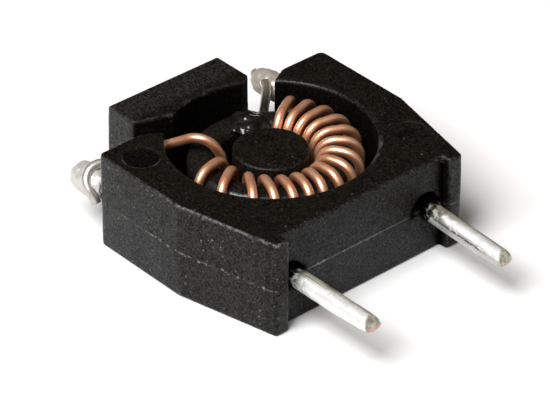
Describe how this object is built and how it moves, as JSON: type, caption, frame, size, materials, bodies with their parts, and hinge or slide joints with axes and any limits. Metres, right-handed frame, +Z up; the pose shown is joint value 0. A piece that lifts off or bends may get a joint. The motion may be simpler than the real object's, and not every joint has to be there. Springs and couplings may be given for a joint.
{
  "type": "toroidal inductor",
  "caption": "Low-profile through-hole inductor: enamelled wire wound on a ring core in the round well of an open moulded housing, with round lead pins at the front.",
  "frame": {"origin": "on the underside of the housing, below the axis of the ring core", "axes": "+X toward the pins along their length, +Y toward the side where the winding ends, +Z up out of the open well"},
  "size_m": [0.0173, 0.0127, 0.0046],
  "materials": {
    "moulding": "filled moulding compound, matt, pale specks and a worn parting line",
    "core": "coated pressed powder ring, satin dark grey-brown",
    "enamelled_wire": "copper wire under clear enamel, glossy",
    "tinned_wire": "tinned copper, bright with fine scratches",
    "solder": "frozen solder, pale satin",
    "adhesive": "cured clear-brown adhesive, glossy"
  },
  "bodies": {
    "root": {"housing": "moulding", "core": "core", "winding": "enamelled_wire", "lead_start": "tinned_wire", "lead_end": "tinned_wire", "solder_start": "solder", "solder_end": "solder", "adhesive_drop": "adhesive"}
  },
  "joints": []
}
